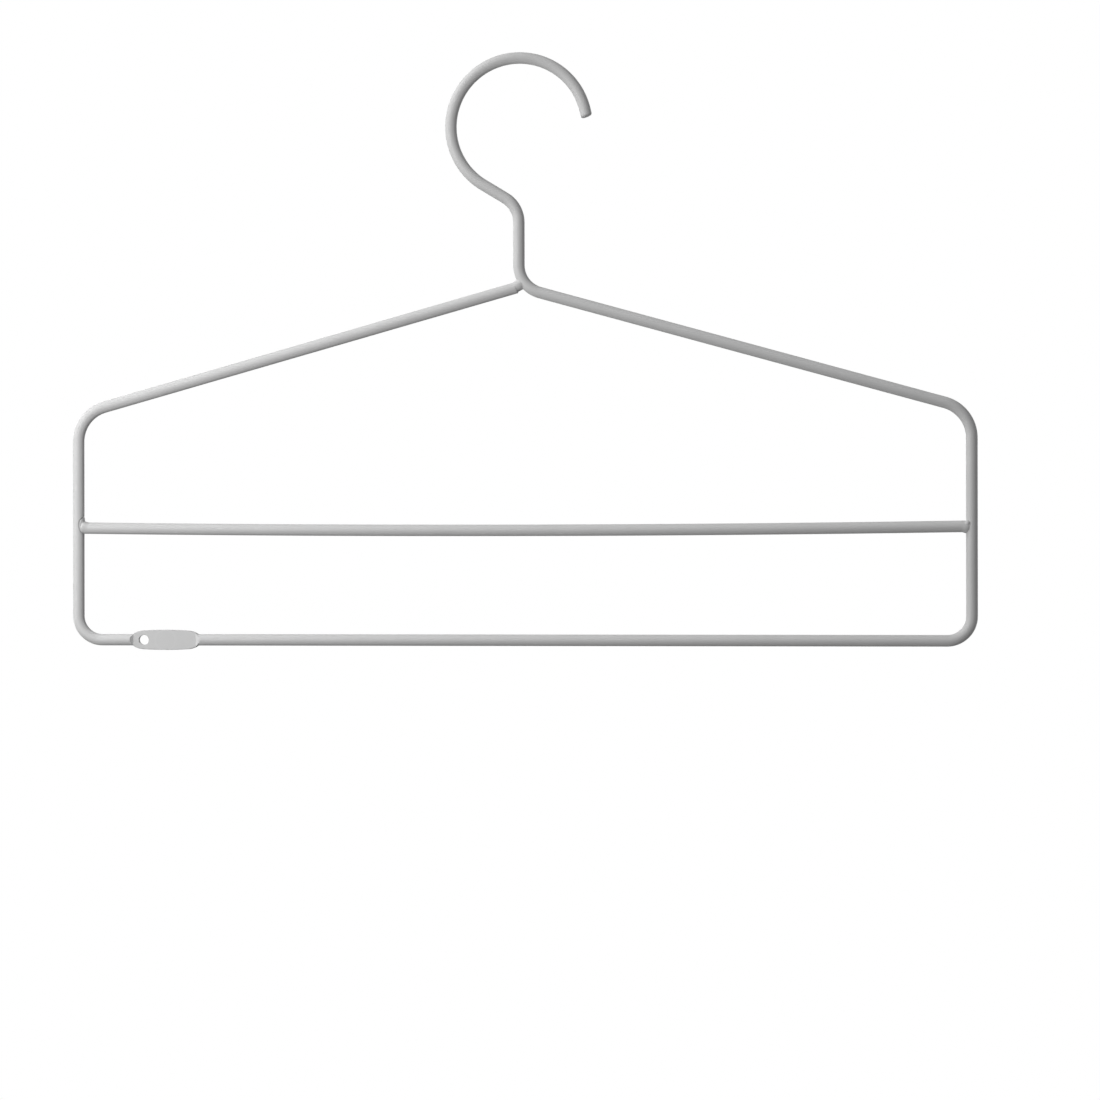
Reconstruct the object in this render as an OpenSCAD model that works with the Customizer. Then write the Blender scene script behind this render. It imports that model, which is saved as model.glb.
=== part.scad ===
// Trouser hanger of bent and welded round steel wire, powder coated.
// One long wire makes the hook, the neck, both shoulders, both sides and the lower rail. It starts at
// the hook's tip and ends at the left shoulder, which is butt-welded to the side of the neck's bend.
// A second, shorter wire is the trouser bar, welded in between the two sides.
// The long wire is drawn as sections that meet face to face where a bend ends.
// Each section is drawn flat, with x across and y up, and is then stood up, so that the hanger's
// front looks towards -Y. The origin is where the hook rests on a rail: the lowest point of the
// wire's inner side at the top of the hook.

/* [Wire] */
// Diameter of the bare steel wire
wire_d = 5; // [4:0.5:6]
// Thickness of the powder coat on all sides
coat = 0.1; // [0.05:0.05:0.2]

/* [Frame] */
// Width over the outsides of the two sides
hanger_w = 410; // [360:5:460]
// Depth of the shoulders' meeting point below the hook's seat
apex_drop = 100.7; // [92:0.1:115]
// Angle at which each shoulder falls away from level
shoulder_slope = 15.6; // [10:0.2:19]
// Depth of the lower rail's centre line below the hook's seat
rail_drop = 260.1; // [245:0.1:285]
// Radius of the elbow between a shoulder and a side, at the centre line
elbow_r = 16.4; // [10:0.2:24]
// Radius of each lower corner, at the centre line
corner_r = 11; // [8:0.2:20]

/* [Hook and neck] */
// Radius of the hook's inner side
hook_r = 28.2; // [22:0.2:36]
// Angle of the tip above the level line through the hook's centre
tip_angle = 9; // [-20:0.5:40]
// Rounding of the edge at the tip's end
tip_round = 1; // [0.4:0.1:1.6]
// Angle below level at which the hook runs back to the neck
runback = 31.4; // [28:0.2:44]
// Radius of the bend from the hook into the neck, at the centre line
upper_bend_r = 13; // [8:0.5:16]
// Radius of the bend from the neck into the right shoulder, at the centre line
lower_bend_r = 13; // [8:0.5:16]

/* [Trouser bar] */
// Height of the bar's ends above the lower rail, between centre lines
bar_rise = 51; // [35:0.5:65]
// Sag of the bar's middle below its ends
bar_bow = 1.4; // [0:0.1:5]

/* [Pressed tab] */
// Distance of the tab's middle from the left side's centre line
tab_inset = 40; // [34:0.5:80]
// Length of the flat that the press leaves
flat_l = 28.8; // [24:0.2:36]
// Greatest height of the flattened wire
tab_w = 9.2; // [7.6:0.1:10.4]
// Thickness of the flattened wire with its coat
tab_t = 2.4; // [1.8:0.1:3]
// How far the tab's long edges bow outwards
tab_crown = 0.35; // [0.1:0.05:0.6]
// Radius to which the tab's free edges bulge
tab_edge_r = 1; // [0.6:0.1:1.2]
// Radius of the tab's rounded ends, seen from the front
nose_r = 9; // [7:0.5:12]
// Distance before the flat's end at which its long edges start to round in
nose_back = 3.75; // [3:0.05:5]
// How far the outline lies off the flat's middle, away from the corner
tab_shift = 0.4; // [0:0.1:0.8]
// Slope of the face where the press runs out into the round wire, on the corner's side
corner_ramp_angle = 44; // [30:1:60]
// Slope of the same face on the rail's side
rail_ramp_angle = 33; // [30:1:60]
// Diameter of the hole in the tab
hole_d = 4.5; // [3:0.1:5.2]
// Distance of the hole's centre from the flat's left end
hole_inset = 4.8; // [4.2:0.1:8]

/* [Welds] */
// Gap that each weld fills between a wire's end and the wire it butts on
weld_gap = 0.2; // [0.1:0.1:0.6]
// Radius of the bead round the end of the left shoulder
neck_bead_r = 2.3; // [1.6:0.1:2.4]
// Cut-back of the left shoulder's end from the shoulders' meeting point
shoulder_back = 1.8; // [0.8:0.1:2.4]
// Radius of the fillet that a bar weld leaves in the corner
bead_fillet = 1; // [0.6:0.1:1.6]
// Height of the left bar weld's bead on the side wire
left_bead_h = 7.6; // [6.8:0.1:9]
// How far the left bead's middle lies above the bar's
left_bead_up = 1.1; // [0:0.1:1.4]
// Height of the right bar weld's bead on the side wire
right_bead_h = 6.6; // [6:0.1:8]
// How far a bar weld's bead stands out round the side wire
bead_t = 0.35; // [0.2:0.05:0.6]

/* [Hidden] */
$fn = 72;
coat_grey = [0.74, 0.74, 0.74];
bar_grey = [0.70, 0.70, 0.70];
bead_grey = [0.66, 0.66, 0.66];

wire_r = wire_d / 2 + coat;
side_x = hanger_w / 2 - wire_r;

// The hook's centre line is an arc that runs from the tip over the top and down the left.
hook_c = [0, -hook_r];
hook_line_r = hook_r + wire_r;
hook_tip = hook_c + hook_line_r * [cos(tip_angle), sin(tip_angle)];
hook_sweep = 270 - runback - tip_angle;
hook_end = hook_c - hook_line_r * [sin(runback), cos(runback)];

// The run back would meet the neck's line at a corner, which the upper bend rounds.
upper_turn = 90 - runback;
upper_tangent = upper_bend_r * tan(upper_turn / 2);
run_l = hook_line_r * tan(runback) - upper_tangent;
neck_top = hook_c.y - hook_line_r / cos(runback) - upper_tangent;

// The lower bend turns the neck into the right shoulder.
apex = [0, -apex_drop];
lower_turn = 90 - shoulder_slope;
lower_tangent = lower_bend_r * tan(lower_turn / 2);
neck_l = neck_top - apex.y - lower_tangent;

// A shoulder would meet a side at a corner, which the elbow rounds. These are the right-hand ones.
shoulder_dir = [cos(shoulder_slope), -sin(shoulder_slope)];
shoulder_start = apex + lower_tangent * shoulder_dir;
elbow_turn = 90 - shoulder_slope;
elbow_tangent = elbow_r * tan(elbow_turn / 2);
shoulder_l = side_x / cos(shoulder_slope) - lower_tangent - elbow_tangent;
rail_y = -rail_drop;
elbow_y = apex.y - side_x * tan(shoulder_slope) - elbow_tangent;
side_l = elbow_y - rail_y - corner_r;
corner_x = side_x - corner_r;

// The trouser bar's ends stop a weld gap short of the sides. Its sag is a shallow parabola.
bar_end_x = side_x - wire_r - weld_gap;
bar_end_y = rail_y + bar_rise;
bead_lip = 0.25;
bead_root = 0.4;
bar_steps = 12;
bar_sides = 32;
function bar_y(x) = bar_end_y - bar_bow * (1 - pow(x / bar_end_x, 2));
function bar_tilt(x) = atan(2 * bar_bow * x / pow(bar_end_x, 2));

// The press leaves a flat with rounded ends. Past each end a ramp climbs back to the wire's crown.
tab_x = tab_inset - side_x;
rail_ramp_l = (wire_r - tab_t / 2) / tan(rail_ramp_angle);
tab_end = flat_l / 2 + rail_ramp_l + 1;
tab_points = 8;
swell = 0.4;
hole_x = tab_x - flat_l / 2 + hole_inset;

// The tab's outline, from its middle: a bowed edge up to nose_x, then an arc about nose_c that dips
// into the round wire. It stops a little inside the wire.
nose_x = flat_l / 2 - nose_back;
nose_tilt = atan(2 * tab_crown / nose_x);
nose_c = [nose_x, tab_w / 2 - tab_crown] - nose_r * [sin(nose_tilt), cos(nose_tilt)];
nose_end = nose_c.x + sqrt(pow(nose_r, 2) - pow(wire_r - nose_c.y, 2)) + 0.3;

// Drawn flat to standing: y becomes height, and what stands up out of the drawing faces -Y.
module stand() {
    rotate([90, 0, 0]) children();
}

// The wire is drawn as a bending machine makes it: feed a length, bend, feed on. Each step draws its
// piece from where it stands, heading along x, and carries what follows it to its own end.
module from_point(point, heading) {
    translate([point.x, point.y, 0])
        rotate([0, 0, heading])
            children();
}

module feed(length, r = wire_r) {
    rotate([0, 90, 0])
        cylinder(r = r, h = length);
    translate([length, 0, 0])
        children();
}

module bend_left(line_r, angle, r = wire_r) {
    translate([0, line_r, 0]) {
        rotate([0, 0, -90])
            rotate_extrude(angle = angle)
                translate([line_r, 0])
                    circle(r);
        rotate([0, 0, angle])
            translate([0, -line_r, 0])
                children();
    }
}

module bend_right(line_r, angle, r = wire_r) {
    mirror([0, 1, 0])
        bend_left(line_r, angle, r)
            mirror([0, 1, 0])
                children();
}

module turn_back() {
    rotate([0, 0, 180]) children();
}

// The rounded end of a wire that starts here: it points back, away from the heading.
module rounded_end() {
    rotate([0, -90, 0])
        rotate_extrude() {
            square([wire_r - tip_round, tip_round]);
            intersection() {
                translate([wire_r - tip_round, 0]) circle(tip_round);
                square([wire_r, tip_round]);
            }
        }
}

// Hook from the rounded tip over the top to where the run back starts.
module hook() {
    color(coat_grey) stand()
        from_point(hook_tip, tip_angle + 90) {
            rounded_end();
            bend_left(hook_line_r, hook_sweep);
        }
}

// Straight run back from the hook to the bend above the neck.
module run_back() {
    color(coat_grey) stand()
        from_point(hook_end, -runback)
            feed(run_l);
}

// Straight neck with the bend above it and the bend below it.
module neck() {
    color(coat_grey) stand()
        from_point([0, neck_top], -90) {
            turn_back() bend_left(upper_bend_r, upper_turn);
            feed(neck_l)
                bend_left(lower_bend_r, lower_turn);
        }
}

module right_shoulder() {
    color(coat_grey) stand()
        from_point(shoulder_start, -shoulder_slope)
            feed(shoulder_l);
}

// Left shoulder from its square-cut end beside the neck's bend to the elbow.
module left_shoulder() {
    color(coat_grey) stand() mirror([1, 0, 0])
        from_point(apex + shoulder_back * shoulder_dir, -shoulder_slope)
            feed(shoulder_l + lower_tangent - shoulder_back);
}

// One side, drawn for the right: the straight side with the elbow above and the corner below it.
module side() {
    from_point([side_x, elbow_y], -90) {
        turn_back() bend_left(elbow_r, elbow_turn);
        feed(side_l)
            bend_right(corner_r, 90);
    }
}

module right_side() {
    color(coat_grey) stand() side();
}

module left_side() {
    color(coat_grey) stand() mirror([1, 0, 0]) side();
}

// Lower rail from the right corner to the tab's run-out.
module lower_rail() {
    color(coat_grey) stand()
        from_point([tab_x + tab_end, rail_y], 0)
            feed(corner_x - tab_end - tab_x);
}

// Half the height of the swollen wire at a distance from the tab's middle, drawn in by an inset.
function tab_half(d, inset) =
    d < nose_x
        ? tab_w / 2 - inset - tab_crown * pow(d / nose_x, 2)
        : max(0.1, nose_c.y + sqrt(max(0, pow(nose_r - inset, 2) - pow(d - nose_c.x, 2))));

// The tab's outline: bowed long edges and round ends, as points along it for a given inset.
module tab_outline(inset) {
    along = concat(
        [for (i = [0:tab_points]) nose_x * i / tab_points],
        [for (i = [1:tab_points]) nose_x + (nose_end - nose_x) * i / tab_points]);
    last = len(along) - 1;
    polygon(concat(
        [for (i = [0:last]) [along[i], tab_half(along[i], inset)]],
        [for (i = [last:-1:0]) [along[i], -tab_half(along[i], inset)]],
        [for (i = [0:last]) [-along[i], -tab_half(along[i], inset)]],
        [for (i = [last:-1:0]) [-along[i], tab_half(along[i], inset)]]));
}

// The wire swollen to the tab's outline, with bulged edges. It is thicker than the flat, so that the
// jaws leave crisp edges round it.
module swollen() {
    slice = 0.02;
    hull()
        for (side = [-1, 1], a = [0:22.5:90])
            translate([0, 0, side * (tab_t / 2 + swell - tab_edge_r * (1 - sin(a))) - slice / 2])
                linear_extrude(slice)
                    tab_outline(tab_edge_r * (1 - cos(a)));
}

// One jaw of the press: what it clears away above the flat and up both ramps.
module jaw() {
    deep = wire_r + 1;
    rise = deep - tab_t / 2;
    translate([0, tab_w, 0])
        rotate([90, 0, 0])
            linear_extrude(2 * tab_w)
                polygon([
                    [-flat_l / 2, tab_t / 2],
                    [flat_l / 2, tab_t / 2],
                    [flat_l / 2 + rise / tan(rail_ramp_angle), deep],
                    [-flat_l / 2 - rise / tan(corner_ramp_angle), deep]]);
}

// Stretch of the lower rail that is pressed flat, with the round wire on both sides of it.
module pressed_tab() {
    color(coat_grey) stand()
        translate([tab_x, rail_y, 0])
            difference() {
                union() {
                    translate([tab_shift, 0, 0])
                        swollen();
                    from_point([-corner_x - tab_x, 0], 0)
                        feed(corner_x + tab_x + tab_end);
                }
                jaw();
                mirror([0, 0, 1]) jaw();
                translate([hole_x - tab_x, 0, -wire_r])
                    cylinder(d = hole_d, h = 2 * wire_r);
            }
}

// One ring of points round the sagging bar at x, square to its line.
function bar_ring(x) = [
    for (i = [0:bar_sides - 1])
        let (a = 360 * i / bar_sides, t = bar_tilt(x))
            [x - wire_r * cos(a) * sin(t), bar_y(x) + wire_r * cos(a) * cos(t), wire_r * sin(a)]];

// Trouser bar with its slight sag, swept from one weld to the other.
module trouser_bar() {
    rings = [for (i = [0:bar_steps]) bar_ring(bar_end_x * (2 * i / bar_steps - 1))];
    points = [for (ring = rings) each ring];
    walls = [
        for (i = [0:bar_steps - 1], j = [0:bar_sides - 1])
            let (k = (j + 1) % bar_sides, here = i * bar_sides, next = here + bar_sides)
                each [[here + j, here + k, next + k], [here + j, next + k, next + j]]];
    first = [for (j = [bar_sides - 1:-1:0]) j];
    last = [for (j = [0:bar_sides - 1]) bar_steps * bar_sides + j];
    color(bar_grey) stand()
        polyhedron(points, concat(walls, [first, last]));
}

// Bead between the left shoulder's end and the side of the neck's lower bend. It is a short stub in
// line with the left shoulder, cut to the bend's round side.
module neck_weld() {
    color(bead_grey) stand()
        difference() {
            mirror([1, 0, 0])
                from_point(apex + shoulder_back * shoulder_dir, 180 - shoulder_slope)
                    feed(shoulder_back + lower_tangent, neck_bead_r);
            from_point([0, neck_top], -90)
                feed(neck_l)
                    bend_left(lower_bend_r, lower_turn);
            // What lies inside the bend is no part of the bead.
            translate([lower_bend_r, apex.y + lower_tangent, -wire_r])
                cylinder(r = lower_bend_r, h = 2 * wire_r);
        }
}

// Bead that a bar weld leaves round the right end of the bar: a collar that tapers along the bar,
// and a low swelling wrapped half round the side wire.
module bar_bead(bead_h, bead_up = 0) {
    root_x = side_x - wire_r + bead_root;
    difference() {
        union() {
            from_point([root_x, bar_end_y], 180)
                rotate([0, 90, 0])
                    cylinder(r1 = wire_r + bead_fillet, r2 = wire_r + bead_lip, h = bead_fillet + bead_root);
            intersection() {
                from_point([side_x, bar_end_y + bead_up], 180)
                    feed(2 * wire_r, bead_h / 2);
                from_point([side_x, bar_end_y + bead_h], -90)
                    feed(2 * bead_h, wire_r + bead_t);
            }
        }
        from_point([side_x, bar_end_y + bead_h], -90)
            feed(2 * bead_h);
        from_point([bar_end_x, bar_end_y], 180 + bar_tilt(bar_end_x))
            feed(2 * wire_r);
    }
}

module right_bar_weld() {
    color(bead_grey) stand() bar_bead(right_bead_h);
}

module left_bar_weld() {
    color(bead_grey) stand() mirror([1, 0, 0]) bar_bead(left_bead_h, left_bead_up);
}

hook();
run_back();
neck();
right_shoulder();
right_side();
lower_rail();
pressed_tab();
left_side();
left_shoulder();
trouser_bar();
neck_weld();
left_bar_weld();
right_bar_weld();
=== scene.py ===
# %% [markdown]
# # A wire trouser hanger, bent and dressed for the camera
#
# The real thing is two pieces of 5 mm round steel wire. A long one is bent into the hook, the neck, both
# shoulders, both sides and the lower rail, and a short one is the trouser bar. Three small welds hold
# them together, and the whole hanger is powder coated a light, satin grey.
#
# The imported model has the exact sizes, but its wire is cut into nine stretches and its sides are faceted.
# That suits a simulation and is too coarse to look at. So the wire is bent again here, smooth and in one
# piece, on the same centre line, and stands for those nine nodes.

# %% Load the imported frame
from math import ceil, cos, degrees, pi, radians, sin, sqrt, tan

import bmesh
import bpy
from mathutils import Matrix, Vector


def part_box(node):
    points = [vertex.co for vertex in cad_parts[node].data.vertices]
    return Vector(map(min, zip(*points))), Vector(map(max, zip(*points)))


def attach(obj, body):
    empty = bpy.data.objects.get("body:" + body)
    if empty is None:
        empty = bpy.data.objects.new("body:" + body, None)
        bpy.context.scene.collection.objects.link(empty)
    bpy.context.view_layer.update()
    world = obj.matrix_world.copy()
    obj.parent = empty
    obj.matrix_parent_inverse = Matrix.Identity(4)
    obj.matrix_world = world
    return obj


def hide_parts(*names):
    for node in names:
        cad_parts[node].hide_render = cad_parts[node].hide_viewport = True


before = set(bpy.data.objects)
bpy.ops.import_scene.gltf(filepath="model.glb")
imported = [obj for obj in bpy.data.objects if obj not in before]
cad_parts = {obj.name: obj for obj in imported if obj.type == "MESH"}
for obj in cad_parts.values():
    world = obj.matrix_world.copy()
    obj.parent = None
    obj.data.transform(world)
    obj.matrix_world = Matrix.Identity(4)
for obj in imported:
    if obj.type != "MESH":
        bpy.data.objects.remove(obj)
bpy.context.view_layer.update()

MM = 0.001
print("packed nodes:", sorted(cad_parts))

# %% [markdown]
# ## Where the wire runs
#
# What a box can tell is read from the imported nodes. The lower rail is a plain rod, so its thickness is the
# wire's, and it ends where a corner begins. The hook's inner crown is the origin, so its centre lies straight
# below, and its radius is the distance to its left edge less half the wire. Angles, and the radii of bends
# that blend into straight wire on both sides, don't show in a box and are named.

# %% Sizes that the frame tells
rail_low, rail_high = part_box("lower_rail")
WIRE_R = (rail_high.y - rail_low.y) / 2
RAIL_Z = (rail_low.z + rail_high.z) / 2
hook_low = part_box("hook")[0]
HOOK_R = -hook_low.x - WIRE_R
HOOK_Z = WIRE_R - HOOK_R
side_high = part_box("right_side")[1]
SIDE_X = side_high.x - WIRE_R
CORNER_R = SIDE_X - rail_high.x
bar_low, bar_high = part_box("trouser_bar")
BAR_END_X = bar_high.x
BAR_SAG = bar_high.z - bar_low.z - 2 * WIRE_R
BAR_END_Z = bar_high.z - WIRE_R
print(f"wire {2 * WIRE_R / MM:.2f} mm thick, rail at z = {RAIL_Z / MM:.1f} mm")
print(f"sides {SIDE_X / MM:.1f} mm from the middle")
print(f"corner radius {CORNER_R / MM:.2f} mm, the bar sags {BAR_SAG / MM:.2f} mm")

# %% Angles and bends
# In degrees from level: the end of the hook's arc as seen from its centre, the run back, the shoulders.
TIP_ANGLE = 9
RUNBACK = 31.4
SLOPE = 15.6
# Radii of bends, at the wire's middle line.
UPPER_BEND_R = 13 * MM
LOWER_BEND_R = 13 * MM
ELBOW_R = 16.4 * MM
# The shoulders' lines meet at the apex, and the left one is cut off a little before it.
APEX_Z = -100.7 * MM
SHOULDER_BACK = 1.8 * MM
print(f"shoulders slope {SLOPE} degrees and meet at z = {APEX_Z / MM:.1f} mm")

# %% Lengths of the straight runs
UPPER_TURN = 90 - RUNBACK
LOWER_TURN = 90 - SLOPE
upper_tangent = UPPER_BEND_R * tan(radians(UPPER_TURN / 2))
lower_tangent = LOWER_BEND_R * tan(radians(LOWER_TURN / 2))
elbow_tangent = ELBOW_R * tan(radians(LOWER_TURN / 2))
RUN_L = HOOK_R * tan(radians(RUNBACK)) - upper_tangent
NECK_L = HOOK_Z - HOOK_R / cos(radians(RUNBACK)) - upper_tangent - APEX_Z - lower_tangent
SHOULDER_L = SIDE_X / cos(radians(SLOPE)) - lower_tangent - elbow_tangent
SIDE_L = APEX_Z - SIDE_X * tan(radians(SLOPE)) - elbow_tangent - RAIL_Z - CORNER_R
print(f"run back {RUN_L / MM:.1f} mm, neck {NECK_L / MM:.1f} mm")
print(f"shoulder {SHOULDER_L / MM:.1f} mm, side {SIDE_L / MM:.1f} mm")

# %% [markdown]
# ## A small bending machine
#
# A wire shop makes this hanger on a machine that feeds a length of wire, bends it, and feeds on. The class
# below works the same way. It starts with a round of vertices across the wire, extrudes it for a straight
# run, and spins it about a bend's centre for a bend. A curve with a bevel would make a similar tube, but
# extrude and spin give even quads, full control over where the rounds lie, and closed ends.

# %% The bending machine
WIRE_SIDES = 64
BEND_STEP = 3
FRONT_AXIS = Vector((0, -1, 0))


def heading_vector(heading):
    """The direction in the hanger's plane at an angle above +X, as seen from the front."""
    return Vector((cos(radians(heading)), 0, sin(radians(heading))))


class Bender:
    """Bends one wire from a start point and a heading, both in the hanger's plane."""

    def __init__(self, start, heading, radius=WIRE_R):
        self.bm = bmesh.new()
        self.at = Vector(start)
        self.heading = heading
        turn = Vector((0, 0, 1)).rotation_difference(heading_vector(heading)).to_matrix().to_4x4()
        place = Matrix.Translation(self.at) @ turn
        bmesh.ops.create_circle(
            self.bm, cap_ends=True, segments=WIRE_SIDES, radius=radius, matrix=place)
        self.start_cap = list(self.bm.faces)[0]
        self.ring = list(self.start_cap.edges)

    def feed(self, length, steps=1):
        """Feeds the wire straight on."""
        for _ in range(steps):
            made = bmesh.ops.extrude_edge_only(self.bm, edges=self.ring)["geom"]
            verts = [g for g in made if isinstance(g, bmesh.types.BMVert)]
            bmesh.ops.translate(self.bm, verts=verts, vec=heading_vector(self.heading) * length / steps)
            self.ring = [g for g in made if isinstance(g, bmesh.types.BMEdge) and len(g.link_faces) == 1]
        self.at = self.at + heading_vector(self.heading) * length

    def bend(self, line_r, angle):
        """Bends the wire by an angle in degrees, to the left of its heading if positive."""
        side = 1 if angle > 0 else -1
        centre = self.at + heading_vector(self.heading + 90 * side) * line_r
        verts = list({v for e in self.ring for v in e.verts})
        made = bmesh.ops.spin(
            self.bm, geom=self.ring + verts, cent=centre, axis=FRONT_AXIS, angle=radians(angle),
            steps=ceil(abs(angle) / BEND_STEP), use_merge=False)["geom_last"]
        self.ring = [g for g in made if isinstance(g, bmesh.types.BMEdge)]
        self.at = centre + Matrix.Rotation(radians(angle), 3, FRONT_AXIS) @ (self.at - centre)
        self.heading += angle

    def close(self):
        """Closes the far end and gives its cap."""
        return bmesh.ops.edgeloop_fill(self.bm, edges=self.ring)["faces"][0]


# %% From a bmesh to a finished piece
SHARP_FROM = 40
PIECES = {}


def make_object(bm, name):
    """Turns the faces outwards, shades them smooth up to an angle, and makes the object."""
    bmesh.ops.remove_doubles(bm, verts=bm.verts, dist=1e-7)
    bmesh.ops.recalc_face_normals(bm, faces=bm.faces)
    for face in bm.faces:
        face.smooth = True
    for edge in bm.edges:
        edge.smooth = edge.is_manifold and edge.calc_face_angle(pi) < radians(SHARP_FROM)
    mesh = bpy.data.meshes.new(name)
    bm.to_mesh(mesh)
    bm.free()
    piece = bpy.data.objects.new(name, mesh)
    bpy.context.scene.collection.objects.link(piece)
    return piece


def apply_modifiers(piece):
    """Keeps what the piece's modifiers make as its own mesh."""
    bpy.context.view_layer.update()
    graph = bpy.context.evaluated_depsgraph_get()
    made = bpy.data.meshes.new_from_object(piece.evaluated_get(graph))
    piece.modifiers.clear()
    piece.data = made


def combine(piece, bm_tool, operation):
    """Cuts a tool's shape out of a piece, or joins the two, for good."""
    tool = make_object(bm_tool, "tool")
    change = piece.modifiers.new("change", "BOOLEAN")
    change.operation = operation
    change.solver = "EXACT"
    change.object = tool
    apply_modifiers(piece)
    bpy.data.objects.remove(tool)


def dress(piece, slot, *nodes):
    """Rides the piece on the hanger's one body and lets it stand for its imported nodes."""
    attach(piece, "root")
    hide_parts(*nodes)
    PIECES[piece.name] = piece
    triangles = sum(len(p.vertices) - 2 for p in piece.data.polygons)
    print(f"{piece.name}: {triangles} triangles, stands for {', '.join(nodes)}")


# %% [markdown]
# ## The pressed tab's outline
#
# Near the left corner the rail is pressed flat into a long rounded tab. Cold metal keeps its volume, so
# the wire spreads up and down where it gets thin. From the front the tab's long edges bow gently, and its
# ends are round noses that run into the wire. The outline is worked out first, because the machine has to
# lay its rounds close together where the noses curve.

# %% The tab's outline
tab_low, tab_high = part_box("pressed_tab")
TAB_HALF = (tab_high.z - tab_low.z) / 2
TAB_T = 2.4 * MM
FLAT_L = 28.8 * MM
FLAT_FROM_SIDE = 40 * MM
FLAT_X = FLAT_FROM_SIDE - SIDE_X
OUTLINE_SHIFT = 0.4 * MM
OUTLINE_X = FLAT_X + OUTLINE_SHIFT
TAB_BOW = 0.35 * MM
NOSE_R = 9 * MM
NOSE_INSET = 3.75 * MM
NOSE_X = FLAT_L / 2 - NOSE_INSET
NOSE_TILT = 2 * TAB_BOW / NOSE_X
nose_centre_x = NOSE_X - NOSE_R * sin(NOSE_TILT)
nose_centre_z = TAB_HALF - TAB_BOW - NOSE_R * cos(NOSE_TILT)
NOSE_END = nose_centre_x + sqrt(NOSE_R ** 2 - (WIRE_R - nose_centre_z) ** 2)
BOW_ROUNDS = 8
NOSE_ROUNDS = 14


def tab_half_height(along):
    """Half the height of the outline at a distance from its middle."""
    if along < NOSE_X:
        return TAB_HALF - TAB_BOW * (along / NOSE_X) ** 2
    return max(WIRE_R, nose_centre_z + sqrt(max(0, NOSE_R ** 2 - (along - nose_centre_x) ** 2)))


def tab_rounds():
    """Where the rounds lie along the rail: close together where the noses curve."""
    bowed = [NOSE_X * i / BOW_ROUNDS for i in range(BOW_ROUNDS + 1)]
    nose_l = NOSE_END - NOSE_X
    nose = [NOSE_X + nose_l * sin(radians(90 * i / NOSE_ROUNDS)) for i in range(1, NOSE_ROUNDS + 1)]
    out = bowed + nose
    return [OUTLINE_X - d for d in reversed(out)] + [OUTLINE_X + d for d in out[1:]]


print(f"tab outline {2 * NOSE_END / MM:.1f} mm long and {2 * TAB_HALF / MM:.1f} mm high")

# %% [markdown]
# ## The long wire
#
# The wire starts where the left shoulder is cut off beside the neck, and ends at the hook's tip. Read the
# cell below as a bending recipe. At the end the machine knows where it stands, so the miss against the
# packed hook's tip is an honest check on every length and angle before it. The last 3 mm are straight here
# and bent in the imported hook, which alone makes a miss of 0.13 mm. Beside the left bar weld the rounds lie
# close together, because a crevice is cut there later, and long thin faces would shade in stripes.

# %% Feed and bend the long wire
TIP_ROUND = 1 * MM
TIP_STRAIGHT = 3 * MM
PAD_ROOM = 8 * MM
PAD_ROUNDS = 48
HOOK_BEND = 270 - RUNBACK - TIP_ANGLE - degrees((TIP_STRAIGHT - TIP_ROUND) / HOOK_R)
cut_end = Vector((0, 0, APEX_Z)) + heading_vector(180 + SLOPE) * SHOULDER_BACK
wire = Bender(cut_end, 180 + SLOPE)
wire.feed(SHOULDER_L + lower_tangent - SHOULDER_BACK)
wire.bend(ELBOW_R, LOWER_TURN)
wire.feed(wire.at.z - BAR_END_Z - PAD_ROOM)
wire.feed(2 * PAD_ROOM, steps=PAD_ROUNDS)
wire.feed(wire.at.z - RAIL_Z - CORNER_R)
wire.bend(CORNER_R, 90)
for x in tab_rounds() + [rail_high.x]:
    wire.feed(x - wire.at.x)
wire.bend(CORNER_R, 90)
wire.feed(SIDE_L)
wire.bend(ELBOW_R, LOWER_TURN)
wire.feed(SHOULDER_L)
neck_foot = (wire.at.copy(), wire.heading)
wire.bend(LOWER_BEND_R, -LOWER_TURN)
wire.feed(NECK_L)
wire.bend(UPPER_BEND_R, UPPER_TURN)
wire.feed(RUN_L)
wire.bend(HOOK_R, -HOOK_BEND)
wire.feed(TIP_STRAIGHT)
tip_cap = wire.close()
packed_tip = Vector((0, 0, HOOK_Z)) + heading_vector(TIP_ANGLE) * HOOK_R
packed_tip = packed_tip + heading_vector(TIP_ANGLE - 90) * TIP_ROUND
print(f"the wire ends {(wire.at - packed_tip).length / MM:.3f} mm from the packed hook's tip")

# %% [markdown]
# ## The two cut ends
#
# Shears leave the hook's tip slightly slanted, longer on the inner side. Its edge is rounded well, so that
# it scratches nothing. The shoulder's end is cut a little askew and reaches into the weld, and its edge is
# only softened by the heat and by the coat.

# %% Slant and round the cut ends
TIP_SLANT = 5
CUT_SLANT = 8
CUT_AHEAD = 0.6 * MM
CUT_ROUND = 0.6 * MM


def slant(cap, middle, heading, angle, ahead=0.0):
    """Turns a cut end by an angle in degrees, longer on its right, and moves it ahead."""
    left = heading_vector(heading + 90)
    for vert in cap.verts:
        off = (vert.co - middle).dot(left)
        vert.co += heading_vector(heading) * (ahead - off * tan(radians(angle)))


slant(tip_cap, wire.at, wire.heading, TIP_SLANT)
slant(wire.start_cap, cut_end, SLOPE, CUT_SLANT, CUT_AHEAD)
cap_edges = [list(tip_cap.edges), list(wire.start_cap.edges)]
for edges, rounding in zip(cap_edges, (TIP_ROUND, CUT_ROUND)):
    bmesh.ops.bevel(
        wire.bm, geom=edges, offset=rounding, segments=6, profile=0.5, affect="EDGES", material=-1)
print(f"hook tip slanted by {TIP_SLANT} degrees, shoulder's end by {CUT_SLANT}")

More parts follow.
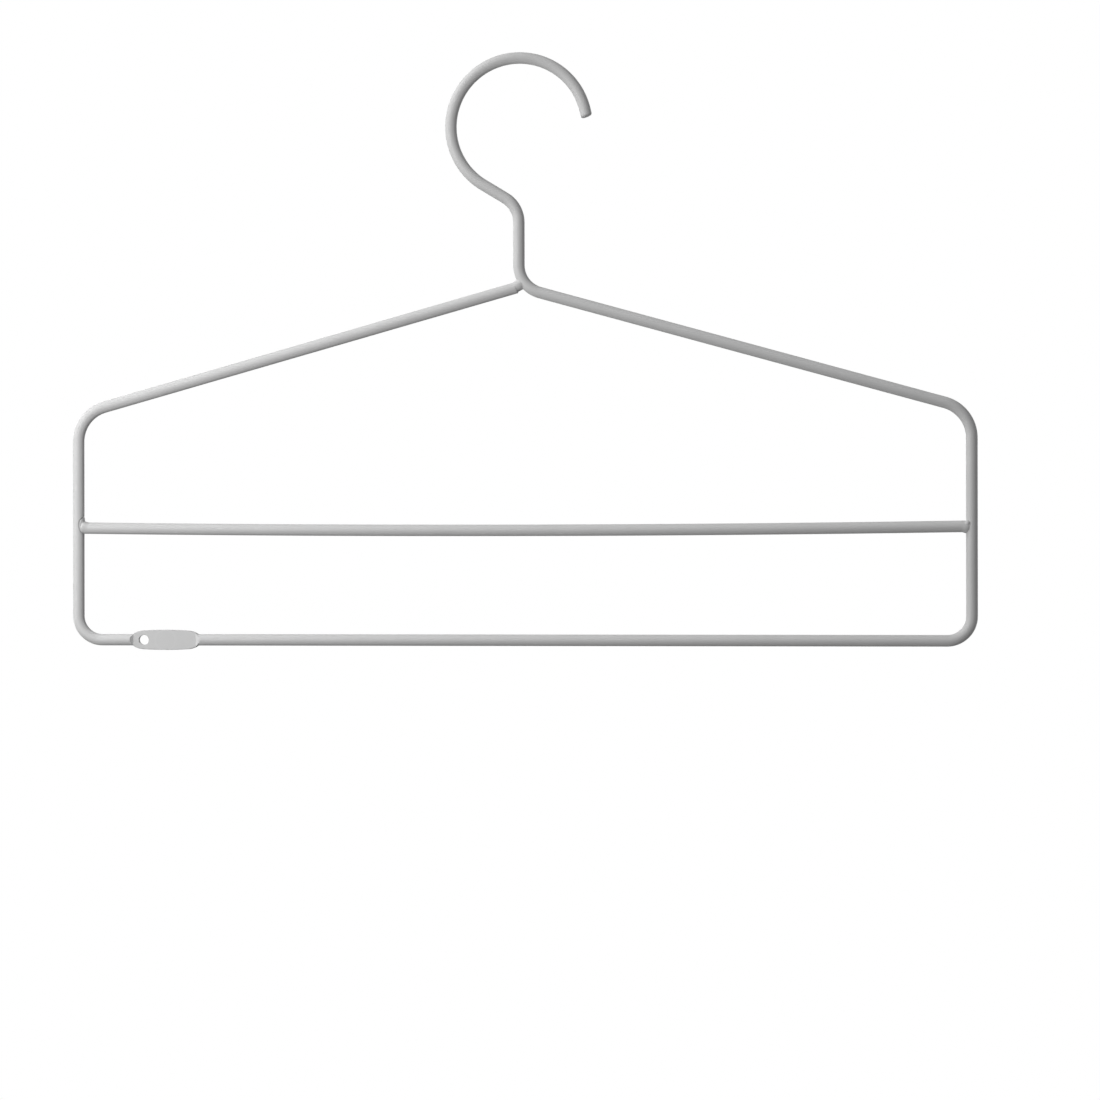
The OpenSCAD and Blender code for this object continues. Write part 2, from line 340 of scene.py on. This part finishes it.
# %% [markdown]
# ## Pressing the tab
#
# The mesh is made in the order of the real work. First the wire is swollen to the outline, and its round
# section turns squarer as it spreads, so that its free edges bulge only a little. Then two jaws with
# sloped ends clear the front and the back, which leaves the flats and the crescents where the ramps run
# out. The ramp on the corner's side is the steeper one. Last comes the hole for a tag.

# %% Swell the wire to the outline
SQUARENESS = 0.63
RAIL_REACH = 1.5
for vert in wire.bm.verts:
    along = abs(vert.co.x - OUTLINE_X)
    up = (vert.co.z - RAIL_Z) / WIRE_R
    if along < NOSE_END and abs(up) < RAIL_REACH:
        half = tab_half_height(along)
        power = 1 - SQUARENESS * (half - WIRE_R) / (TAB_HALF - WIRE_R)
        vert.co.z = RAIL_Z + half * abs(up) ** power * (1 if up > 0 else -1)
frame_wire = make_object(wire.bm, "frame_wire")
print("swollen wire:", len(frame_wire.data.polygons), "faces")

# %% The jaws and the punch
CORNER_RAMP = 44
RAIL_RAMP = 33
HOLE_R = 2.25 * MM
HOLE_INSET = 4.8 * MM
HOLE_X = FLAT_X - FLAT_L / 2 + HOLE_INSET
JAW_DEPTH = 1.6 * WIRE_R


def jaw(side):
    """A jaw on the front (-1) or the back (1): its face is the flat, and its ends slope away."""
    rise = JAW_DEPTH - TAB_T / 2
    corners = [(-FLAT_L / 2, TAB_T / 2), (FLAT_L / 2, TAB_T / 2),
               (FLAT_L / 2 + rise / tan(radians(RAIL_RAMP)), JAW_DEPTH),
               (-FLAT_L / 2 - rise / tan(radians(CORNER_RAMP)), JAW_DEPTH)]
    bm = bmesh.new()
    face = bm.faces.new([bm.verts.new((FLAT_X + x, side * y, RAIL_Z - 2 * TAB_HALF)) for x, y in corners])
    made = bmesh.ops.extrude_face_region(bm, geom=[face])["geom"]
    verts = [g for g in made if isinstance(g, bmesh.types.BMVert)]
    bmesh.ops.translate(bm, verts=verts, vec=(0, 0, 4 * TAB_HALF))
    return bm


def punch():
    """The round punch that makes the hole."""
    bm = bmesh.new()
    place = Matrix.Translation((HOLE_X, 0, RAIL_Z)) @ Matrix.Rotation(pi / 2, 4, "X")
    bmesh.ops.create_cone(
        bm, cap_ends=True, segments=96, radius1=HOLE_R, radius2=HOLE_R, depth=4 * WIRE_R, matrix=place)
    return bm


combine(frame_wire, jaw(-1), "DIFFERENCE")
combine(frame_wire, jaw(1), "DIFFERENCE")
combine(frame_wire, punch(), "DIFFERENCE")
print("pressed wire:", len(frame_wire.data.polygons), "faces")

# %% [markdown]
# ## Soft edges on the tab
#
# Powder coat flows a little before it sets, so no edge on the real tab is sharp. The hole's rim is rounded
# most, because the punch draws the metal in. Bevel does both, on edges that are picked by where they lie
# and by how sharply their faces meet.

# %% Round the hole's rim and the tab's edges
RIM_SOFT = 0.22 * MM
EDGE_SOFT = 0.1 * MM
CRISP_FROM = 22
NEAR = 0.02 * MM
bm = bmesh.new()
bm.from_mesh(frame_wire.data)
bpy.data.objects.remove(frame_wire)
bmesh.ops.remove_doubles(bm, verts=bm.verts, dist=1e-6)


def on_rim(vert):
    """True on either end of the hole."""
    from_axis = sqrt((vert.co.x - HOLE_X) ** 2 + (vert.co.z - RAIL_Z) ** 2)
    return abs(from_axis - HOLE_R) < NEAR and abs(abs(vert.co.y) - TAB_T / 2) < NEAR


def on_tab(vert):
    """True on the tab and its ramps."""
    return abs(vert.co.x - OUTLINE_X) < NOSE_END + 2 * MM and abs(vert.co.z - RAIL_Z) < 2 * TAB_HALF


def crisp_edges(bm, where):
    """The edges with both ends in a place whose two faces meet sharply, so none along the hole's wall."""
    return [
        e for e in bm.edges
        if e.is_manifold and e.calc_face_angle(0) > radians(CRISP_FROM)
        and where(e.verts[0]) and where(e.verts[1])]


rim = crisp_edges(bm, on_rim)
bmesh.ops.bevel(bm, geom=rim, offset=RIM_SOFT, segments=5, profile=0.5, affect="EDGES", material=-1)
crisp = crisp_edges(bm, on_tab)
bmesh.ops.bevel(
    bm, geom=crisp, offset=EDGE_SOFT, segments=4, profile=0.5, affect="EDGES", material=-1,
    clamp_overlap=True)
print(f"softened {len(rim)} edges of the hole and {len(crisp)} of the tab")
frame_wire = make_object(bm, "frame_wire")

# %% [markdown]
# ## The trouser bar
#
# The bar is a straight piece of wire that is welded in between the sides. Heat and shrinking leave it with
# a sag of a millimetre or so. It is fed in short lengths, and then its rounds are lowered on a parabola.

# %% Feed and sag the bar
bar = Bender((-BAR_END_X, 0, BAR_END_Z), 0)
bar.feed(2 * BAR_END_X, steps=40)
bar.close()
for vert in bar.bm.verts:
    vert.co.z -= BAR_SAG * (1 - (vert.co.x / BAR_END_X) ** 2)
trouser_bar = make_object(bar.bm, "trouser_bar_wire")

# %% [markdown]
# ## The welds
#
# Resistance welding presses a hot wire's end against another wire, and a little metal swells out between
# them. After coating it looks like wax. A hard join of solids would show a line all round, so each melt is
# made as it happens. Short cores that lie just under the wires' skin are joined with the metal between
# them, cast anew on a fine grid and left to settle. Smoothing sinks what bulges and fills what is hollow,
# so the cores stay hidden and only soft fillets come out between the wires.

# %% Let joined solids settle like liquid metal
MELT_GRID = 0.1 * MM
CORE_R = WIRE_R - 0.02 * MM


def spun_melt(start, heading, profile):
    """A profile of (distance, radius) in millimetres, spun about an axis in the hanger's plane."""
    bm = bmesh.new()
    run, up = heading_vector(heading), heading_vector(heading + 90)
    verts = [bm.verts.new(Vector(start) + (run * s + up * r) * MM) for s, r in profile]
    edges = [bm.edges.new(pair) for pair in zip(verts, verts[1:])]
    bmesh.ops.spin(bm, geom=verts + edges, cent=start, axis=run, angle=2 * pi, steps=56, use_merge=True)
    return bm


def settled(name, parts, rounds):
    """Joins the parts, casts them on the grid, and smooths the cast a number of rounds."""
    piece = make_object(parts[0], name)
    for part in parts[1:]:
        combine(piece, part, "UNION")
    cast = piece.modifiers.new("cast", "REMESH")
    cast.mode = "VOXEL"
    cast.voxel_size = MELT_GRID
    cast.use_smooth_shade = True
    settle = piece.modifiers.new("settle", "SMOOTH")
    settle.factor = 0.5
    settle.iterations = rounds
    apply_modifiers(piece)
    print(f"{name}: {len(piece.data.polygons)} faces after {rounds} rounds")
    return piece


# %% The neck's melt
# The melt starts 0.2 mm off the shoulder's middle line, points a little higher than the shoulder, and its
# core follows the neck's lower bend.
NECK_MELT = ((-1.4, 0), (-1.4, 1.4), (-0.8, 2.1), (0, 2.42), (1, 2.5), (2, 2.54), (3, 2.5), (3.8, 2.3),
             (4.4, 1.7), (4.6, 0))
MELT_TILT = 16
MELT_SHIFT = 0.2
NECK_ROUNDS = 90
bend_core = Bender(*neck_foot, CORE_R)
bend_core.bend(LOWER_BEND_R, -LOWER_TURN)
bend_core.close()
melt_start = cut_end + heading_vector(90 + SLOPE) * MELT_SHIFT * MM
end_melt = spun_melt(melt_start, SLOPE + MELT_TILT, NECK_MELT)
neck_melt = settled("neck_weld_bead", [bend_core.bm, end_melt], NECK_ROUNDS)

# %% [markdown]
# The left bar weld also has a pad: an oval of metal on the inner half of the side wire. It starts as a
# sphere, which is wrapped round the wire as a lens. A slightly larger lens is cut from the wire first, so
# that a fine crevice runs round the pad, as on the real one. The right bar weld has a droplet instead.
# Near the side wires the melts lean a little, up at the left end and down at the right one.

# %% Shapes of the bar's melts
LEAN_FROM = 4.4 * MM
LEAN_OVER = 1.8 * MM


def bar_melt(side, profile, lean):
    """A melt at the bar's left (-1) or right (1) end, which leans up by lean where it meets the side."""
    bm = spun_melt((side * SIDE_X, 0, BAR_END_Z), 90 + 90 * side, profile)
    for vert in bm.verts:
        away = abs(vert.co.x - side * SIDE_X)
        near = min(1, max(0, (LEAN_FROM - away) / LEAN_OVER))
        vert.co.z += lean * near * near * (3 - 2 * near)
    return bm


def wrapped_lens(half_w, half_h, rise, proud, deep):
    """A lens wrapped on the left side wire's inner half, proud of it outside and deep inside it."""
    bm = bmesh.new()
    bmesh.ops.create_uvsphere(
        bm, u_segments=64, v_segments=32, radius=1, matrix=Matrix.Rotation(pi / 2, 4, "Y"))
    for vert in bm.verts:
        out, across, up = vert.co
        reach = WIRE_R + out * (proud if out > 0 else deep)
        turn = across * half_w / WIRE_R
        vert.co = (reach * cos(turn) - SIDE_X, reach * sin(turn), BAR_END_Z + rise + up * half_h)
    return bm


# %% The left bar weld with its pad and crevice
LEFT_MELT = ((0.6, 0), (0.6, 1.6), (1.3, 2.3), (1.9, 2.68), (2.4, 2.8), (3, 2.78), (3.7, 2.7),
             (4.4, 2.63), (5, 2.58), (5.6, 2.5), (5.6, 0))
MELT_LEAN = 0.4 * MM
BAR_MELT_ROUNDS = 30
PAD_HALF_W = 3.4 * MM
PAD_HALF_H = 3.9 * MM
PAD_RISE = 1.16 * MM
PAD_PROUD = 0.25 * MM
PAD_DEEP = 1.2 * MM
CREVICE = 0.34 * MM
CREVICE_RISE = PAD_RISE + 0.1 * MM
CREVICE_DEEP = 0.6 * MM
larger_lens = wrapped_lens(
    PAD_HALF_W + CREVICE, PAD_HALF_H + CREVICE, CREVICE_RISE, CREVICE_DEEP, CREVICE_DEEP)
combine(frame_wire, larger_lens, "DIFFERENCE")
pad = wrapped_lens(PAD_HALF_W, PAD_HALF_H, PAD_RISE, PAD_PROUD, PAD_DEEP)
left_melt = settled("left_weld_bead", [bar_melt(-1, LEFT_MELT, MELT_LEAN), pad], BAR_MELT_ROUNDS)

# %% The right bar weld with its droplet
RIGHT_MELT = ((0.6, 0), (0.6, 1.8), (1.1, 2.35), (1.7, 2.62), (2.4, 2.74), (3.2, 2.73), (4, 2.67),
              (4.7, 2.6), (5.6, 2.5), (5.6, 0))
SIDE_CORE_HALF = 6 * MM
DROPLET_R = 1.25 * MM
DROPLET_SUNK = 0.75 * MM
DROPLET_FRONT = 1.6 * MM
DROPLET_UP = 1.5 * MM
side_core = Bender((SIDE_X, 0, BAR_END_Z - SIDE_CORE_HALF), 90, CORE_R)
side_core.feed(2 * SIDE_CORE_HALF, steps=8)
side_core.close()
droplet = bmesh.new()
droplet_at = Matrix.Translation(
    (SIDE_X - WIRE_R + DROPLET_SUNK, -DROPLET_FRONT, BAR_END_Z + DROPLET_UP))
bmesh.ops.create_uvsphere(droplet, u_segments=32, v_segments=20, radius=DROPLET_R, matrix=droplet_at)
right_parts = [side_core.bm, bar_melt(1, RIGHT_MELT, -MELT_LEAN), droplet]
right_melt = settled("right_weld_bead", right_parts, BAR_MELT_ROUNDS)

# %% [markdown]
# ## Shading by the large faces
#
# The last cut into the long wire is made. Now its big flat faces should set the shading, and the narrow
# bevels beside them should follow, which is what weighted normals are for. They come after all the cuts,
# because a boolean spoils normals that were stored before it.

# %% Weigh the normals of the long wire
weigh = frame_wire.modifiers.new("weigh", "WEIGHTED_NORMAL")
weigh.keep_sharp = True
weigh.weight = 60
apply_modifiers(frame_wire)
print("long wire:", len(frame_wire.data.polygons), "faces")

# %% Let each piece stand for its nodes
dress(frame_wire, "wire_coat", "hook", "run_back", "neck", "right_shoulder", "right_side", "lower_rail",
      "pressed_tab", "left_side", "left_shoulder")
dress(trouser_bar, "bar_coat", "trouser_bar")
dress(neck_melt, "bead_coat", "neck_weld")
dress(left_melt, "bead_coat", "left_bar_weld")
dress(right_melt, "bead_coat", "right_bar_weld")

# %% [markdown]
# ## Shader maths as plain expressions
#
# A material is a small program. Wrapping a socket in a class with Python's operators lets that program be
# read as one: `1 - mask * 0.2` adds its Math nodes by itself. Any other node comes from one method, which
# takes the node's settings first and then its inputs.

# %% The expression class


class Socket:
    """A number that varies over the surface, with Python's operators."""

    def __init__(self, shop, out):
        self.shop = shop
        self.out = out

    def math(self, operation, a, b):
        return self.shop.add("ShaderNodeMath", {"operation": operation}, {0: a, 1: b})

    def __add__(self, other):
        return self.math("ADD", self, other)

    __radd__ = __add__

    def __mul__(self, other):
        return self.math("MULTIPLY", self, other)

    __rmul__ = __mul__

    def __sub__(self, other):
        return self.math("SUBTRACT", self, other)

    def __rsub__(self, other):
        return self.math("SUBTRACT", other, self)


class Shop:
    """The node tree of a material or of the world."""

    def __init__(self, owner):
        owner.use_nodes = True
        self.tree = owner.node_tree
        self.tree.nodes.clear()

    def add(self, kind, settings=None, inputs=None, out=0):
        """Adds a node, sets it up, feeds its sockets, and gives one of its outputs."""
        node = self.tree.nodes.new(kind)
        for key, value in (settings or {}).items():
            setattr(node, key, value)
        for key, value in (inputs or {}).items():
            if isinstance(value, Socket):
                self.tree.links.new(value.out, node.inputs[key])
            else:
                node.inputs[key].default_value = value
        return Socket(self, node.outputs[out]) if len(node.outputs) else None

    def noise(self, where, size, detail):
        """Noise from 0 to 1 whose features are about a size across, in metres."""
        return self.add("ShaderNodeTexNoise", {"noise_dimensions": "3D"},
                        {"Vector": where, "Scale": 1 / size, "Detail": detail})

    def between(self, value, low, high):
        """A smooth step from 0 at low to 1 at high."""
        return self.add("ShaderNodeMapRange", {"interpolation_type": "SMOOTHSTEP"},
                        {"Value": value, "From Min": low, "From Max": high})

    def distance(self, where, point):
        """How far each point of the surface is from a point of the hanger."""
        return self.add("ShaderNodeVectorMath", {"operation": "DISTANCE"}, {0: where, 1: point}, out="Value")


# %% [markdown]
# ## The powder coat
#
# Powder coat is a plastic film that melts on the steel. It never lies quite flat: it keeps a fine orange
# peel, a faint sandy grain, and clouds of slightly lighter and darker grey where it went on thicker. It
# is satin, so its highlight is broad and weak.
#
# Two marks are masks on Object coordinates, so they stay on the hanger in every view. The hook's inner crown,
# where it rests on its rail, is rubbed glossier by hanging, and its colour there is a trace darker as painted
# shade. The film is a trace lighter in a ring round the tab's middle, which meets its long edges.

# %% Mix the powder coat
COAT_GREY = 0.62
COAT_ROUGH = 0.5
COAT_SHEEN = 0.16
CLOUD_SIZE = 14 * MM
PEEL_SIZE = 1.5 * MM
GRAIN_SIZE = 0.4 * MM
BUMP_DEPTH = 0.05 * MM
BUMP_STRENGTH = 0.13
# How far the hook crown's wear and painted shade reach from its inner crown.
CROWN_WEAR_AND_SHADE_FADE = (4 * MM, 13 * MM)
RING_IN = (4.3 * MM, 4.6 * MM)
RING_OUT = (4.7 * MM, 6 * MM)


def powder_coat(name, grey=COAT_GREY, peel=1.0):
    """A satin powder coat in a neutral grey, with a share of the usual orange peel."""
    material = bpy.data.materials.new(name)
    shop = Shop(material)
    where = shop.add("ShaderNodeTexCoord", out="Object")
    clouds = shop.noise(where, CLOUD_SIZE, detail=3)
    orange = shop.noise(where, PEEL_SIZE, detail=2)
    grain = shop.noise(where, GRAIN_SIZE, detail=1)
    # Painted shade: the hook's inner crown is a trace darker where its rail rests. The same mask lowers the
    # roughness there as wear.
    crown_wear_and_shade = 1 - shop.between(shop.distance(where, (0, 0, 0)), *CROWN_WEAR_AND_SHADE_FADE)
    from_tab = shop.distance(where, (OUTLINE_X, 0, RAIL_Z))
    ring = shop.between(from_tab, *RING_IN) * (1 - shop.between(from_tab, *RING_OUT))
    # The crown's mask darkens the tone here, which is painted shade.
    tone = grey * (1 + 0.07 * (clouds - 0.5) + 0.035 * (grain - 0.5) - 0.03 * crown_wear_and_shade + 0.02 * ring)
    colour = shop.add("ShaderNodeCombineColor", {}, {"Red": tone, "Green": tone, "Blue": tone})
    gloss = COAT_ROUGH + 0.10 * (clouds - 0.5) + 0.08 * (orange - 0.5) - 0.14 * crown_wear_and_shade
    height = orange * 0.7 + grain * 0.3
    bump = shop.add("ShaderNodeBump", {}, {
        "Height": height, "Strength": BUMP_STRENGTH * peel, "Distance": BUMP_DEPTH})
    shader = shop.add("ShaderNodeBsdfPrincipled", {}, {
        "Base Color": colour, "Roughness": gloss, "Normal": bump, "Specular IOR Level": COAT_SHEEN})
    shop.add("ShaderNodeOutputMaterial", {}, {"Surface": shader})
    return material


wire_coat = powder_coat("powder_coat")
bead_coat = powder_coat("powder_coat_bead", grey=COAT_GREY * 0.97, peel=1.3)
for name, piece in PIECES.items():
    piece.data.materials.clear()
    piece.data.materials.append(bead_coat if name.endswith("bead") else wire_coat)
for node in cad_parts.values():
    node.data.materials.clear()
    node.data.materials.append(wire_coat)
print("materials:", [m.name for m in bpy.data.materials])

# %% [markdown]
# ## Floor and backdrop
#
# The hanger hangs in front of plain white, and its lowest point is 1.3 m above a pale floor. The white isn't
# made with more light, which would wash out the coat. Rays that show the backdrop itself, from the camera
# or by way of gloss or glass, find white. All other rays find a dim grey, which is the soft fill.

# %% Floor and world
FLOOR_Z = -1.6
FLOOR_HALF = 3
FLOOR_GREY = (0.5, 0.5, 0.5, 1)
FLOOR_LIFT = 0.8
WHITE = (1, 1, 1, 1)
FILL = 0.225
BACKDROP_RAYS = ("Is Camera Ray", "Is Glossy Ray", "Is Transmission Ray")


def shows_backdrop(shop):
    """1 for rays that show the backdrop itself, and 0 for those that only carry its light."""
    seen = 0
    for kind in BACKDROP_RAYS:
        seen = shop.add("ShaderNodeMath", {"operation": "MAXIMUM"},
                        {0: seen, 1: shop.add("ShaderNodeLightPath", out=kind)})
    return seen


bm = bmesh.new()
floor_at = Matrix.Translation((0, 0, FLOOR_Z))
bmesh.ops.create_grid(bm, x_segments=1, y_segments=1, size=FLOOR_HALF, matrix=floor_at)
floor = make_object(bm, "floor")
floor_white = bpy.data.materials.new("floor_white")
shop = Shop(floor_white)
paper = shop.add("ShaderNodeBsdfDiffuse", {}, {"Color": FLOOR_GREY})
lift = shop.add("ShaderNodeEmission", {}, {"Color": WHITE, "Strength": shows_backdrop(shop) * FLOOR_LIFT})
lit_paper = shop.add("ShaderNodeAddShader", {}, {0: paper, 1: lift})
shop.add("ShaderNodeOutputMaterial", {}, {"Surface": lit_paper})
floor.data.materials.append(floor_white)

world = bpy.data.worlds.new("soft_world")
bpy.context.scene.world = world
shop = Shop(world)
backdrop = shop.add("ShaderNodeBackground", {}, {
    "Color": WHITE, "Strength": FILL + (1 - FILL) * shows_backdrop(shop)})
shop.add("ShaderNodeOutputWorld", {}, {"Surface": backdrop})
print(f"floor {floor.dimensions.x:.1f} m wide at z = {FLOOR_Z} m, fill {FILL}")

# %% [markdown]
# ## The lamps
#
# The light on the wire tells where the lamps stood. The upper and left sides are lightest and the lower
# right rims are darkest, so a large soft lamp stands high on the left. The left half is lighter than the
# right, and the faces that look at the camera aren't dark, so a small lamp stands near, in front and to
# the left, at the hanger's own height. A third and weak lamp, high on the right, stands for what the
# studio's walls throw back.

# %% Three lamps
AIM = Vector((0, 0, -0.13))


def lamp(name, turn, height, away, radius, power):
    """A round lamp, placed by its turn to the right of the front and its height angle above level."""
    data = bpy.data.lights.new(name, "AREA")
    data.shape = "DISK"
    data.size = 2 * radius
    data.energy = power
    made = bpy.data.objects.new(name, data)
    level = cos(radians(height))
    toward = Vector((sin(radians(turn)) * level, -cos(radians(turn)) * level, sin(radians(height))))
    made.location = AIM + toward * away
    made.rotation_euler = (-toward).to_track_quat("-Z", "Y").to_euler()
    bpy.context.scene.collection.objects.link(made)
    print(f"{name}: {power} W, {2 * radius:.2f} m wide, {away} m away")


lamp("soft_lamp", turn=-77, height=43, away=1.8, radius=0.38, power=15)
lamp("near_lamp", turn=-40, height=2, away=0.7, radius=0.06, power=2.65)
lamp("wall_lamp", turn=45, height=60, away=1.8, radius=0.38, power=2.0)

# %% [markdown]
# ## The camera
#
# The photograph was taken level, from 1.3 m, and slightly from the hanger's right, which shows in the neck
# standing left of the middle. The camera rolls by a hair. The frame is square.

# %% The camera
VIEW_TURN = 5.0
VIEW_AWAY = 1.295
VIEW_ROLL = -0.08
FOCAL_PX = 2873
FRAME_PX = 1100
LOOK_AT = Vector((13.9 * MM, 0, -219.4 * MM))
camera_data = bpy.data.cameras.new("camera")
camera_data.sensor_width = 36
camera_data.lens = FOCAL_PX / FRAME_PX * camera_data.sensor_width
camera = bpy.data.objects.new("camera", camera_data)
back = Vector((sin(radians(VIEW_TURN)), -cos(radians(VIEW_TURN)), 0))
camera.location = LOOK_AT + back * VIEW_AWAY
camera.rotation_euler = (-back).to_track_quat("-Z", "Y").to_euler()
camera.rotation_euler.rotate_axis("Z", radians(VIEW_ROLL))
bpy.context.scene.collection.objects.link(camera)
bpy.context.scene.camera = camera
bpy.context.scene.view_settings.view_transform = "Standard"
print(f"lens {camera_data.lens:.1f} mm at {VIEW_AWAY:.2f} m, turned {VIEW_TURN} degrees")
